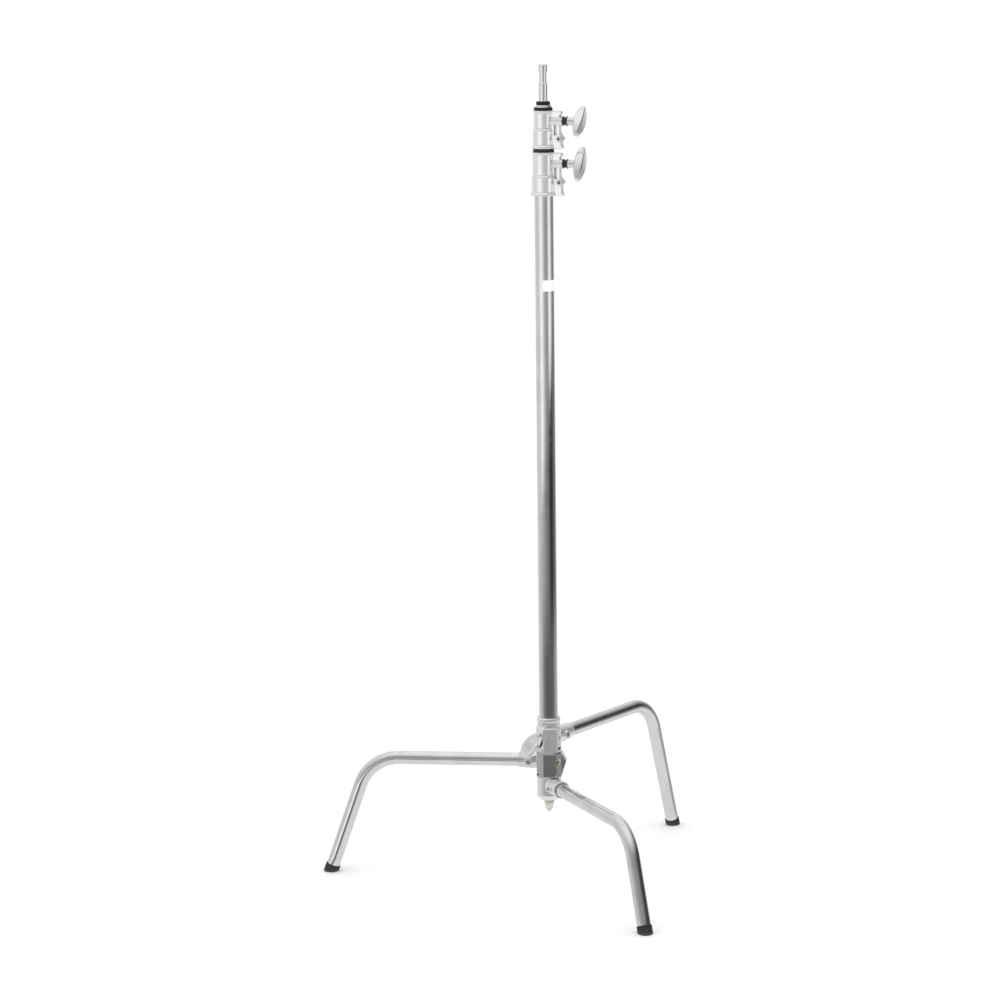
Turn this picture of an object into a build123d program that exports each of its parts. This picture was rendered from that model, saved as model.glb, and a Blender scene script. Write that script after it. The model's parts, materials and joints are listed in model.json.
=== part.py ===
from build123d import *
from math import cos, degrees, hypot, radians, sin
import os

# A lighting stand with a folding three-leg base, a removable column and two telescopic risers.
# Millimetres, +Z up. The stand is shown collapsed, with its legs open.
# Every piece is drawn about the column's axis, and azimuths are degrees about it, counted from +X.
# save() then moves the piece, so that the origin is on the floor at the middle of the box round the feet.

# ---- legs ----
tall_azimuth, middle_azimuth, low_azimuth = 60, 180, 300
tall_height, middle_height, low_height = 270, 226, 180
tall_foot_radius, middle_foot_radius, low_foot_radius = 427, 421, 411
corner_radius = 342            # where a leg's level and falling centre lines would meet
leg_bend_radius = 80
leg_radius, leg_wall = 12.7, 2.0
leg_inner_end = 26             # from the column's axis to the tube's end inside its socket
foot_cap_radius, foot_cap_height = 14.0, 15.0
rubber_under_tube = 8
rivet_distance, rivet_radius, rivet_head_radius, rivet_head = 37, 4.0, 7.2, 1.8
rivet_hollow_radius, rivet_hollow_depth = 3.6, 3.0
boss_half_width = 17.6         # the rivet's flats stand this far from the leg's axis

# ---- base castings, from the floor up ----
low_hub_bottom, low_hub_top = 149.5, 195.5
middle_hub_bottom, middle_hub_top = 196.5, 242.5
casting_bottom, casting_top = 243.5, 310.4
low_hub_radius, casting_radius, collar_radius, collar_height = 23.0, 24.0, 21.3, 19.4
lip_height, lip_step = 6.8, 1.2
washer_thickness, washer_radius = 0.9, 21.5
low_hub_floor, low_hub_rounding = 8.5, 11.5
sleeve_radius, sleeve_bore = 17.5, 14.3
sleeve_bottom, sleeve_top = 159.0, 290.0
running_gap = 0.06             # radial clearance of every sliding or turning fit
stop_radius, stop_tip_radius, stop_depth = 3.0, 2.0, 1.2
stop_sunk = 0.9
middle_stop_azimuth, middle_stop_height, middle_stop_face = -42.8, 226, 27.9
low_stop_azimuth, low_stop_height, low_stop_face = 272, 168, 23.0
middle_detent_azimuth, middle_detent_height, middle_detent_face = 0, 226, 33.2
low_detent_azimuth, low_detent_height, low_detent_face = 120, 180, 31.0
fold_angle = 114
detent_ball_radius, detent_groove = 2.4, 0.6
sleeve_pin_azimuth, sleeve_pin_height, sleeve_pin_radius = -22, 272, 2.5

# ---- column and risers ----
column_radius, middle_riser_radius, top_riser_radius = 17.5, 15.0, 12.5
tube_wall = 1.5
column_length, middle_riser_length, top_riser_length = 1016, 1016, 986
column_bottom = casting_top + 0.1
middle_riser_bottom, top_riser_bottom = 396, 474
bush_length, bush_insert = 44, 30
spigot_radius, spigot_bottom = 14.0, 185.0
spigot_plug = 36
label_bottom, label_top, label_start, label_sweep, label_thickness = 1120, 1140.5, 264, 130, 0.2

# ---- riser clamps ----
clamp_azimuth = -13
lower_clamp_bottom, lower_clamp_top = 1295.7, 1375.5
upper_clamp_bottom, upper_clamp_top = 1382.1, 1451.5
lower_barrel_height, upper_barrel_height = 1354.5, 1432.3
lower_pinch_height, upper_pinch_height = 1320.6, 1400.3
bumper_radius, bumper_height = 19.4, 6.4

# ---- T-handles and their pressure pads ----
screw_radius, pad_length, pad_gap = 5.0, 4.0, 0.15
collar_start, collar_width, collar_gap = 0.3, 8.4, 0.1
clamp_stem, base_stem = 15.5, 6.0
paddle_half_length, paddle_half_width, paddle_half_thickness = 35.0, 13.2, 8.7
paddle_tip_fall, paddle_edge_radius = 5.2, 3.4
base_handle_azimuth, base_handle_height = 232, 264
lower_paddle_turn, upper_paddle_turn, base_paddle_turn = -33, -47, -42

# ---- top fitting ----
pin_radius, pin_top, pin_base, undercut_radius, pin_foot_radius = 8.0, 1535.0, 1467.9, 6.5, 7.0
undercut_bottom, undercut_top = 1500.6, 1520.8
top_bumper_bottom, top_cone_bottom, top_gasket_bottom = 1451.6, 1456.9, 1461.5

# The column's axis stands here in the saved frame.
axis_x = (middle_foot_radius - tall_foot_radius * cos(radians(tall_azimuth))) / 2
axis_y = -(tall_foot_radius * sin(radians(tall_azimuth)) + low_foot_radius * sin(radians(low_azimuth))) / 2

os.makedirs("parts", exist_ok=True)


def radial(azimuth):
    """The level direction at this azimuth."""
    return Vector(cos(radians(azimuth)), sin(radians(azimuth)), 0)


def side_plane(azimuth, height=0):
    """A vertical plane through the column's axis. Its x runs outwards and its y runs up."""
    outward = radial(azimuth)
    return Plane(origin=(0, 0, height), x_dir=outward, z_dir=outward.cross(Vector(0, 0, 1)))


def outward_plane(azimuth, height, distance=0):
    """A vertical plane that faces outwards, this far from the column's axis. Its y runs up."""
    outward = radial(azimuth)
    centre = outward * distance + Vector(0, 0, height)
    return Plane(origin=centre, x_dir=Vector(0, 0, 1).cross(outward), z_dir=outward)


def save(piece, name):
    """Moves a finished piece to the saved frame, labels it and writes it to its own file."""
    placed = piece.part.moved(Location((axis_x, axis_y, 0)))
    placed.label = name
    export_step(placed, f"parts/{name}.step")


def turned(profile, azimuth=0):
    """A round piece about the column's axis, from its half profile as (radius, height) points."""
    with BuildPart() as piece:
        with BuildSketch(side_plane(azimuth)):
            with BuildLine():
                Polyline(*profile, close=True)
            make_face()
        revolve(axis=Axis.Z)
    return piece


def ring(inner, outer, bottom, top, edge=0):
    """A flat ring about the column's axis, with its outer edges rounded by edge."""
    with BuildPart() as piece:
        with BuildSketch(Plane.XY.offset(bottom)):
            Circle(outer)
            Circle(inner, mode=Mode.SUBTRACT)
        extrude(amount=top - bottom)
        if edge:
            outer_edges = piece.edges().filter_by(GeomType.CIRCLE).group_by(SortBy.RADIUS)[-1]
            fillet(outer_edges, radius=edge)
    return piece


# ======== legs ========
def fall_direction(height, foot_radius):
    """The falling part of a leg runs this way, as (outwards, up) of length 1."""
    run, drop = foot_radius - corner_radius, height
    return run / hypot(run, drop), -drop / hypot(run, drop)


def build_leg(azimuth, height, foot_radius):
    """A bent tube from its socket, out and down to its rubber foot."""
    out, up = fall_direction(height, foot_radius)
    tube_end = (foot_radius - out * rubber_under_tube, -up * rubber_under_tube)
    with BuildPart() as leg:
        with BuildLine(side_plane(azimuth)) as path:
            FilletPolyline((leg_inner_end, height), (corner_radius, height), tube_end, radius=leg_bend_radius)
        with BuildSketch(outward_plane(azimuth, height, leg_inner_end)):
            Circle(leg_radius)
            Circle(leg_radius - leg_wall, mode=Mode.SUBTRACT)
        sweep(path=path.line)
        with BuildSketch(side_plane(azimuth)):
            with Locations((rivet_distance, height)):
                Circle(rivet_radius)
        extrude(amount=boss_half_width, both=True, mode=Mode.SUBTRACT)
    return leg


def build_foot(azimuth, height, foot_radius):
    """A rubber cap on the tube's end, cut level with the floor."""
    out, up = fall_direction(height, foot_radius)
    floor_point = radial(azimuth) * foot_radius
    rising = radial(azimuth) * -out + Vector(0, 0, -up)
    seat = Plane(origin=floor_point, x_dir=rising.cross(radial(azimuth)), z_dir=rising)
    with BuildPart() as foot:
        with BuildSketch(seat.offset(-foot_cap_radius)):
            Circle(foot_cap_radius)
        extrude(amount=foot_cap_radius + foot_cap_height)
        fillet(foot.faces().sort_by(Axis.Z)[-1].edges(), radius=1.0)
        split(bisect_by=Plane.XY, keep=Keep.TOP)
        fillet(foot.faces().sort_by(Axis.Z)[0].edges(), radius=2.0)
        with BuildSketch(seat.offset(rubber_under_tube)):
            Circle(leg_radius)
        extrude(amount=foot_cap_height, mode=Mode.SUBTRACT)
    return foot


def build_rivet(azimuth, height):
    """A tubular rivet through a socket and its tube, with a hollow set into each rolled head."""
    across = side_plane(azimuth)
    with BuildPart() as rivet:
        with BuildSketch(across):
            with Locations((rivet_distance, height)):
                Circle(rivet_radius)
        extrude(amount=boss_half_width, both=True)
        for side in (1, -1):
            with BuildSketch(across.offset(side * boss_half_width)):
                with Locations((rivet_distance, height)):
                    Circle(rivet_head_radius)
            extrude(amount=side * rivet_head)
            head_face = rivet.faces().sort_by(Axis((0, 0, 0), across.z_dir * side))[-1]
            fillet(head_face.edges(), radius=0.9)
            with BuildSketch(across.offset(side * (boss_half_width + rivet_head))):
                with Locations((rivet_distance, height)):
                    Circle(rivet_hollow_radius)
            extrude(amount=-side * rivet_hollow_depth, mode=Mode.SUBTRACT)
    return rivet


def add_socket(azimuth, height, root_radius, mouth_radius, mouth, lip_radius=0, lip=0):
    """Adds the tapering outside of a leg socket, with its rivet flats, to the casting being built."""
    outside = [(0, height), (0, height + root_radius), (leg_inner_end, height + root_radius)]
    if lip:
        outside += [(mouth - lip - 3, height + mouth_radius), (mouth - lip, height + lip_radius)]
        outside += [(mouth - 1, height + lip_radius), (mouth, height + lip_radius - 1)]
    else:
        outside += [(mouth, height + mouth_radius)]
    outside += [(mouth, height)]
    with BuildSketch(side_plane(azimuth)) as half_profile:
        with BuildLine():
            Polyline(*outside, close=True)
        make_face()
    revolve(half_profile.sketch, axis=Axis((0, 0, height), radial(azimuth)))
    with BuildSketch(side_plane(azimuth)) as flats:
        with Locations((rivet_distance, height)):
            Circle(rivet_head_radius + 0.6)
    extrude(flats.sketch, amount=boss_half_width, both=True)


def cut_socket(azimuth, height):
    """Cuts the leg's bore and the rivet's hole."""
    with BuildSketch(outward_plane(azimuth, height, leg_inner_end)) as tube_end:
        Circle(leg_radius)
    extrude(tube_end.sketch, amount=corner_radius, mode=Mode.SUBTRACT)
    with BuildSketch(side_plane(azimuth)) as rivet_hole:
        with Locations((rivet_distance, height)):
            Circle(rivet_radius)
    extrude(rivet_hole.sketch, amount=casting_radius, both=True, mode=Mode.SUBTRACT)


def cut_radial_hole(azimuth, height, radius, start, end):
    """Cuts a level hole that points at the column's axis."""
    with BuildSketch(outward_plane(azimuth, height, start)) as mouth:
        Circle(radius)
    extrude(mouth.sketch, amount=end - start, mode=Mode.SUBTRACT)


def cut_round_bore(radius, bottom, top):
    """Cuts a bore about the column's axis."""
    with BuildSketch(Plane.XY.offset(bottom)) as mouth:
        Circle(radius)
    extrude(mouth.sketch, amount=top - bottom, mode=Mode.SUBTRACT)


leg_sets = {
    "tall": (tall_azimuth, tall_height, tall_foot_radius),
    "middle": (middle_azimuth, middle_height, middle_foot_radius),
    "low": (low_azimuth, low_height, low_foot_radius),
}
for leg_name, (azimuth, height, foot_radius) in leg_sets.items():
    save(build_leg(azimuth, height, foot_radius), f"{leg_name}_leg")
    save(build_foot(azimuth, height, foot_radius), f"{leg_name}_foot")
    save(build_rivet(azimuth, height), f"{leg_name}_leg_rivet")

# ======== base ========
# The fixed casting: a collar for the column, the tall leg's socket and the T-handle's barrel.
base_barrel_radius, base_barrel_end = 9.5, 26.0
collar_bottom = casting_top - collar_height
with BuildPart() as base_casting:
    with BuildSketch(Plane.XY.offset(casting_bottom)):
        Circle(casting_radius)
    extrude(amount=collar_bottom - casting_bottom)
    with BuildSketch(Plane.XY.offset(collar_bottom)):
        Circle(collar_radius)
    extrude(amount=collar_height)
    with BuildSketch(Plane.XY.offset(casting_top - lip_height)):
        Circle(collar_radius + lip_step)
    extrude(amount=lip_height)
    collar_edge = base_casting.faces().sort_by(Axis.Z)[-1].edges()
    fillet(collar_edge, radius=1.6)
    add_socket(tall_azimuth, tall_height, 17.4, 15.0, 66)
    with BuildSketch(outward_plane(base_handle_azimuth, base_handle_height, 0)):
        Circle(base_barrel_radius)
    extrude(amount=base_barrel_end)
    with BuildSketch(side_plane(base_handle_azimuth)):
        with BuildLine():
            Polyline((0, 252), (24, 254), (base_barrel_end, 260), (base_barrel_end, 284),
                     (22, collar_bottom + 2), (0, collar_bottom + 2), close=True)
        make_face()
    extrude(amount=9, both=True)
    cut_round_bore(sleeve_radius, casting_bottom - 1, sleeve_top)
    cut_round_bore(sleeve_bore, sleeve_top, casting_top + 1)
    cut_socket(tall_azimuth, tall_height)
    cut_radial_hole(base_handle_azimuth, base_handle_height, screw_radius + running_gap, 12, 45)
    cut_radial_hole(sleeve_pin_azimuth, sleeve_pin_height, sleeve_pin_radius, 12, 30)
    with BuildSketch(outward_plane(-24, casting_bottom + 8, 18.5)):
        Rectangle(11, 5)
    extrude(amount=8, mode=Mode.SUBTRACT)
save(base_casting, "base_casting")

# The pin that holds the sleeve in the casting is sunk below the surface.
with BuildPart() as sleeve_pin:
    with BuildSketch(outward_plane(sleeve_pin_azimuth, sleeve_pin_height, sleeve_bore + 0.5)):
        Circle(sleeve_pin_radius)
        Circle(sleeve_pin_radius - 0.9, mode=Mode.SUBTRACT)
    extrude(amount=casting_radius - sleeve_bore - 3.0)
save(sleeve_pin, "sleeve_pin")


def cut_arc_groove(height, half_width, depth, start, sweep_angle):
    """Cuts a groove round the outside of the sleeve, from start through sweep_angle."""
    with BuildSketch(side_plane(start)) as groove:
        with Locations((sleeve_radius, height)):
            Rectangle(2 * depth, 2 * half_width)
    revolve(groove.sketch, axis=Axis.Z, revolution_arc=sweep_angle, mode=Mode.SUBTRACT)


# The sleeve takes the column's spigot inside, and the two folding hubs turn on its outside.
stop_margin = degrees(stop_tip_radius / sleeve_radius) + 2
with BuildPart() as centre_sleeve:
    with BuildSketch(Plane.XY.offset(sleeve_bottom)):
        Circle(sleeve_radius)
        Circle(sleeve_bore, mode=Mode.SUBTRACT)
    extrude(amount=sleeve_top - sleeve_bottom)
    for detent_height in (middle_detent_height, low_detent_height):
        cut_arc_groove(detent_height, detent_ball_radius, detent_groove, 0, 360)
    middle_start = middle_stop_azimuth - fold_angle - stop_margin
    cut_arc_groove(middle_stop_height, 2.2, stop_depth + 0.2, middle_start, fold_angle + 2 * stop_margin)
    low_start = low_stop_azimuth - stop_margin
    cut_arc_groove(low_stop_height, 2.2, stop_depth + 0.2, low_start, fold_angle + 2 * stop_margin)
    cut_radial_hole(base_handle_azimuth, base_handle_height, screw_radius + running_gap, 5, 25)
    cut_radial_hole(sleeve_pin_azimuth, sleeve_pin_height, sleeve_pin_radius, 12, 25)
save(centre_sleeve, "centre_sleeve")

# Plug, stud, disc spring and nut hold the hubs up against the casting.
stud_radius, nut_top, nut_bottom, stud_bottom = 5.0, 147.6, 131.0, 126.0
plug_bottom, plug_top = 160.0, 178.0
sleeve_plug = ring(stud_radius, sleeve_bore, plug_bottom, plug_top)
save(sleeve_plug, "sleeve_plug")
stud_profile = [(0, plug_top), (stud_radius, plug_top), (stud_radius, 130), (4.2, 129)]
stud_profile += [(3.2, stud_bottom), (0, stud_bottom)]
save(turned(stud_profile), "centre_stud")
disc_profile = [(stud_radius, 149.3), (stud_radius, 148.3), (11.0, nut_top), (11.0, 148.6)]
save(turned(disc_profile), "disc_spring")
# Two flats for a spanner are cut on the nut's tapered lower half.
flat_distance, flat_height, flat_depth = 8.2, 8.0, 12.0
with BuildPart() as hub_nut:
    with BuildSketch(Plane.XZ):
        with BuildLine():
            Polyline((stud_radius, nut_top - 0.1), (9.6, nut_top - 0.1), (9.6, 143), (8.6, 142),
                     (6.6, nut_bottom), (stud_radius, nut_bottom), close=True)
        make_face()
    revolve(axis=Axis.Z)
    for side in (1, -1):
        with BuildSketch(Plane.XY.offset(nut_bottom)):
            with Locations((0, side * (flat_distance + flat_depth / 2))):
                Rectangle(30, flat_depth)
        extrude(amount=flat_height, mode=Mode.SUBTRACT)
save(hub_nut, "hub_nut")

# A washer lies over each folding hub, with a thin gap under it.
washer_gap = 0.05
upper_washer_bottom, lower_washer_bottom = middle_hub_top + washer_gap, low_hub_top + washer_gap
upper_washer = ring(sleeve_radius, washer_radius, upper_washer_bottom, upper_washer_bottom + washer_thickness)
save(upper_washer, "upper_thrust_washer")
lower_bore = sleeve_radius + running_gap
lower_washer = ring(lower_bore, washer_radius, lower_washer_bottom, lower_washer_bottom + washer_thickness)
save(lower_washer, "lower_thrust_washer")

# The middle leg's hub has flat sides and a pointed nose, opposite the leg, for the detent.
hub_half, hub_front, facet_x, facet_y, nose_half_width = 24.0, 25.0, 16.0, 14.0, 11.0
with BuildPart() as middle_hub:
    with BuildSketch(Plane.XY.offset(middle_hub_bottom)):
        with BuildLine():
            Polyline((-8, -hub_half), (facet_x, -hub_half), (hub_front, -facet_y), (hub_front, facet_y),
                     (facet_x, hub_half), (-8, hub_half), (-22, 16), (-22, -16), close=True)
        make_face()
    extrude(amount=middle_hub_top - middle_hub_bottom)
    fillet(middle_hub.edges().filter_by(Axis.Z), radius=2.0)
    with BuildSketch(Plane.XZ):
        with BuildLine():
            Polyline((15, middle_hub_bottom), (hub_front, middle_hub_bottom),
                     (middle_detent_face, middle_detent_height - 3),
                     (middle_detent_face, middle_detent_height + 3), (hub_front, middle_hub_top),
                     (15, middle_hub_top), close=True)
        make_face()
    extrude(amount=nose_half_width, both=True)
    add_socket(middle_azimuth, middle_height, 16.4, 14.3, 57)
    cut_round_bore(sleeve_radius + running_gap, middle_hub_bottom - 1, middle_hub_top + 1)
    cut_socket(middle_azimuth, middle_height)
    cut_radial_hole(middle_stop_azimuth, middle_stop_height, stop_radius, 10, 40)
    cut_radial_hole(middle_detent_azimuth, middle_detent_height, stop_radius, 10, 40)
    cut_radial_hole(middle_stop_azimuth, middle_stop_height, stop_radius + 1.6, middle_stop_face - 1.6, 40)
    cut_radial_hole(220, middle_hub_bottom + 5, 2.4, 18.5, 40)
save(middle_hub, "middle_hub")

# The low leg's hub is round, with a closed and rounded bottom.
with BuildPart() as low_hub:
    with BuildSketch(Plane.XY.offset(low_hub_bottom)):
        Circle(low_hub_radius)
    extrude(amount=low_hub_top - low_hub_bottom)
    fillet(low_hub.faces().sort_by(Axis.Z)[0].edges(), radius=low_hub_rounding)
    add_socket(low_azimuth, low_height, 15.4, 14.6, 57, lip_radius=17.0, lip=7)
    with BuildSketch(outward_plane(low_detent_azimuth, low_detent_height, 0)):
        RegularPolygon(9.5, 6)
    extrude(amount=low_detent_face)
    cut_round_bore(sleeve_radius + running_gap, low_hub_bottom + low_hub_floor, low_hub_top + 1)
    cut_round_bore(stud_radius + running_gap, low_hub_bottom - 1, low_hub_bottom + low_hub_floor + 1)
    cut_socket(low_azimuth, low_height)
    cut_radial_hole(low_stop_azimuth, low_stop_height, stop_radius, 10, 30)
    cut_radial_hole(low_detent_azimuth, low_detent_height, stop_radius, 10, 40)
save(low_hub, "low_hub")


def build_stop_screw(azimuth, height, face):
    """A slotted screw whose dog point runs in the sleeve's groove and stops the fold."""
    neck = sleeve_radius + 1.5
    with BuildPart() as screw:
        with BuildSketch(outward_plane(azimuth, height, sleeve_radius - stop_depth)):
            Circle(stop_tip_radius)
        extrude(amount=neck - sleeve_radius + stop_depth)
        with BuildSketch(outward_plane(azimuth, height, neck)):
            Circle(stop_radius)
        extrude(amount=face - neck - stop_sunk)
        with BuildSketch(outward_plane(azimuth, height, face - 1.6)):
            Rectangle(2 * stop_radius + 1, 0.9)
        extrude(amount=3, mode=Mode.SUBTRACT)
    return screw


def build_detent(azimuth, height, face):
    """The ball, the coil spring and the slotted screw of one leg detent, from the axis outwards."""
    ball_centre = sleeve_radius - detent_groove + 0.2 + detent_ball_radius
    spring_start, spring_end = ball_centre + detent_ball_radius + 0.4, face - 4.4
    wire = 0.35
    with BuildPart() as ball:
        with Locations(outward_plane(azimuth, height, ball_centre).location):
            Sphere(detent_ball_radius)
    with BuildPart() as spring:
        turns = 5
        length = spring_end - spring_start - 2 * wire
        coil_start = radial(azimuth) * (spring_start + wire) + Vector(0, 0, height)
        with BuildLine() as coil:
            Helix(pitch=length / turns, height=length, radius=1.9, center=coil_start,
                  direction=radial(azimuth))
        with BuildSketch(Plane(origin=coil.line @ 0, z_dir=coil.line % 0)):
            Circle(wire)
        sweep(path=coil.line, is_frenet=True)
    with BuildPart() as screw:
        with BuildSketch(outward_plane(azimuth, height, face - 4.0)):
            Circle(stop_radius)
        extrude(amount=3.6)
        with BuildSketch(outward_plane(azimuth, height, face - 1.6)):
            Rectangle(2 * stop_radius + 1, 0.9)
        extrude(amount=3, mode=Mode.SUBTRACT)
    return ball, spring, screw


save(build_stop_screw(middle_stop_azimuth, middle_stop_height, middle_stop_face), "middle_stop_screw")
save(build_stop_screw(low_stop_azimuth, low_stop_height, low_stop_face), "low_stop_screw")
middle_detent = build_detent(middle_detent_azimuth, middle_detent_height, middle_detent_face)
low_detent = build_detent(low_detent_azimuth, low_detent_height, low_detent_face)
for hub_name, detent in (("middle", middle_detent), ("low", low_detent)):
    for piece, piece_name in zip(detent, ("ball", "spring", "screw")):
        save(piece, f"{hub_name}_detent_{piece_name}")

# ======== column ========
# The spigot drops into the base, where the screw's pad bears in its wide groove. Its plug fills the
# column's end.
spigot_plug_radius = column_radius - tube_wall - running_gap
spigot_top = column_bottom + spigot_plug
groove_radius, groove_start, groove_end = 12.2, 250, 278
spigot_profile = [(0, spigot_bottom), (12.5, spigot_bottom), (spigot_radius, spigot_bottom + 3)]
spigot_profile += [(spigot_radius, groove_start), (groove_radius, groove_start + 3)]
spigot_profile += [(groove_radius, groove_end - 3), (spigot_radius, groove_end)]
spigot_profile += [(spigot_radius, column_bottom), (spigot_plug_radius, column_bottom)]
spigot_profile += [(spigot_plug_radius, spigot_top), (0, spigot_top)]
save(turned(spigot_profile), "column_spigot")


def build_tube(radius, bottom, length):
    """A straight tube about the column's axis."""
    return ring(radius - tube_wall, radius, bottom, bottom + length)


def build_bush(tube_radius, guide_radius, tube_bottom):
    """The plastic guide on a riser's lower end, with a stub that fits inside the riser."""
    stub_radius = tube_radius - tube_wall - running_gap
    guide = guide_radius - running_gap
    waist = guide - 0.8
    bottom, shoulder, stub_top = tube_bottom - bush_length, tube_bottom - 0.1, tube_bottom + bush_insert
    profile = [(0, bottom), (guide - 2, bottom), (guide, bottom + 3), (guide, bottom + 14)]
    profile += [(waist, bottom + 15), (waist, bottom + 29), (guide, bottom + 30), (guide, shoulder)]
    profile += [(stub_radius, shoulder), (stub_radius, stub_top), (0, stub_top)]
    return turned(profile)


save(build_tube(column_radius, column_bottom, column_length), "column_tube")
save(build_tube(middle_riser_radius, middle_riser_bottom, middle_riser_length), "middle_riser_tube")
save(build_tube(top_riser_radius, top_riser_bottom, top_riser_length), "top_riser_tube")
save(build_bush(middle_riser_radius, column_radius - tube_wall, middle_riser_bottom), "middle_riser_bush")
save(build_bush(top_riser_radius, middle_riser_radius - tube_wall, top_riser_bottom), "top_riser_bush")

# A blank label wraps part of the column.
with BuildPart() as column_label:
    with BuildSketch(side_plane(label_start)):
        with Locations((column_radius + label_thickness / 2, (label_bottom + label_top) / 2)):
            Rectangle(label_thickness, label_top - label_bottom)
    revolve(axis=Axis.Z, revolution_arc=label_sweep)
save(column_label, "column_label")

# ======== riser clamps ========
spine_half_width, slit_half_width, spine_reach, barrel_reach = 6.5, 0.9, 36.0, 38.0
pinch_radius, pinch_head_radius, pinch_head, pinch_distance = 3.0, 5.4, 5.5, 33.0
pocket_distance, pocket_width, pocket_depth = 25.0, 4.4, 3.4
barrel_radius = 8.6


def build_clamp(azimuth, bottom, top, radii, held, sliding_radius, barrel, pinch):
    """A cast clamp. It grips the tube below with a pinched split, and its T-handle holds the riser above.

    radii are the body's, below and above its step. held is the gripped tube's (radius, top).
    """
    lower_radius, upper_radius = radii
    held_radius, held_top = held
    flange_radius, flange, rim = lower_radius + 2.6, 4.6, 3.0
    rim_radius, rim_bottom = upper_radius + 1.5, top - rim
    flange_top, step, slit_top = bottom + flange, held_top + 4, held_top
    ear_reach, lip_reach = spine_reach - 3, barrel_reach - 2
    with BuildPart() as clamp:
        with BuildSketch(side_plane(azimuth)):
            with BuildLine():
                Polyline((0, bottom), (flange_radius - 0.8, bottom), (flange_radius, bottom + 0.8),
                         (flange_radius, flange_top - 0.8), (lower_radius, flange_top + 1.2),
                         (lower_radius, step), (upper_radius, step + 2.5), (upper_radius, rim_bottom - 1),
                         (rim_radius, rim_bottom),
                         (rim_radius, top - 0.7), (rim_radius - 0.7, top), (0, top), close=True)
            make_face()
        revolve(axis=Axis.Z)
        with BuildSketch(side_plane(azimuth)):
            with BuildLine():
                Polyline((0, bottom), (barrel_reach, bottom), (barrel_reach, flange_top),
                         (spine_reach, flange_top + 2), (spine_reach, pinch + 7.5), (ear_reach, pinch + 10),
                         (ear_reach, top - 9), (lip_reach, top - 7), (lip_reach, top - 1), (0, top - 1),
                         close=True)
            make_face()
        extrude(amount=spine_half_width, both=True)
        with BuildSketch(outward_plane(azimuth, barrel, 0)):
            Circle(barrel_radius)
        extrude(amount=barrel_reach)
        with BuildSketch(side_plane(azimuth)):
            with Locations((pinch_distance, pinch)):
                Circle(pinch_head_radius + 1.2)
        extrude(amount=spine_half_width, both=True)
        for side in (1, -1):
            with BuildSketch(side_plane(azimuth).offset(side * spine_half_width)):
                with Locations((pocket_distance, (pinch + barrel) / 2)):
                    Rectangle(pocket_width, barrel - pinch - 14)
            extrude(amount=-side * pocket_depth, mode=Mode.SUBTRACT)
        cut_round_bore(held_radius, bottom - 1, held_top)
        cut_round_bore(sliding_radius + running_gap, held_top - 1, top + 1)
        with BuildSketch(outward_plane(azimuth, (bottom + slit_top) / 2)):
            Rectangle(2 * slit_half_width, slit_top - bottom)
        extrude(amount=barrel_reach + 4, mode=Mode.SUBTRACT)
        with BuildSketch(side_plane(azimuth)):
            with Locations((pinch_distance, pinch)):
                Circle(pinch_radius)
        extrude(amount=spine_half_width + 2, both=True, mode=Mode.SUBTRACT)
        cut_radial_hole(azimuth, barrel, screw_radius + running_gap, 5, barrel_reach + 1)
    return clamp


def build_pinch_screw(azimuth, height):
    """A hexagon-socket screw across the clamp's split. Its head is on the front."""
    across = side_plane(azimuth)
    with BuildPart() as screw:
        with BuildSketch(across.offset(-spine_half_width - 5)):
            with Locations((pinch_distance, height)):
                Circle(pinch_radius)
        extrude(amount=2 * spine_half_width + 5)
        with BuildSketch(across.offset(spine_half_width)):
            with Locations((pinch_distance, height)):
                Circle(pinch_head_radius)
        extrude(amount=pinch_head)
        head_face = screw.faces().sort_by(Axis((0, 0, 0), across.z_dir))[-1]
        fillet(head_face.edges(), radius=1.0)
        with BuildSketch(across.offset(spine_half_width + pinch_head)):
            with Locations((pinch_distance, height)):
                RegularPolygon(2.9, 6)
        extrude(amount=-3.2, mode=Mode.SUBTRACT)
    return screw


def build_pinch_nut(azimuth, height):
    """The hexagon nut of the pinch screw."""
    with BuildPart() as nut:
        with BuildSketch(side_plane(azimuth).offset(-spine_half_width - 4.6)):
            with Locations((pinch_distance, height)):
                RegularPolygon(5.6, 6)
                Circle(pinch_radius, mode=Mode.SUBTRACT)
        extrude(amount=4.6)
    return nut


column_top = column_bottom + column_length
middle_riser_top = middle_riser_bottom + middle_riser_length
lower_clamp = build_clamp(clamp_azimuth, lower_clamp_bottom, lower_clamp_top, (22.0, 20.2),
                          (column_radius, column_top), middle_riser_radius, lower_barrel_height,
                          lower_pinch_height)
save(lower_clamp, "lower_clamp")
save(build_pinch_screw(clamp_azimuth, lower_pinch_height), "lower_clamp_screw")
save(build_pinch_nut(clamp_azimuth, lower_pinch_height), "lower_clamp_nut")
upper_clamp = build_clamp(clamp_azimuth, upper_clamp_bottom, upper_clamp_top, (19.6, 17.8),
                          (middle_riser_radius, middle_riser_top), top_riser_radius, upper_barrel_height,
                          upper_pinch_height)
save(upper_clamp, "upper_clamp")
save(build_pinch_screw(clamp_azimuth, upper_pinch_height), "upper_clamp_screw")
save(build_pinch_nut(clamp_azimuth, upper_pinch_height), "upper_clamp_nut")
bumper_top = lower_clamp_top + bumper_height
lower_bumper = ring(middle_riser_radius + running_gap, bumper_radius, lower_clamp_top, bumper_top, edge=1.2)
save(lower_bumper, "lower_bumper")


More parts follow.
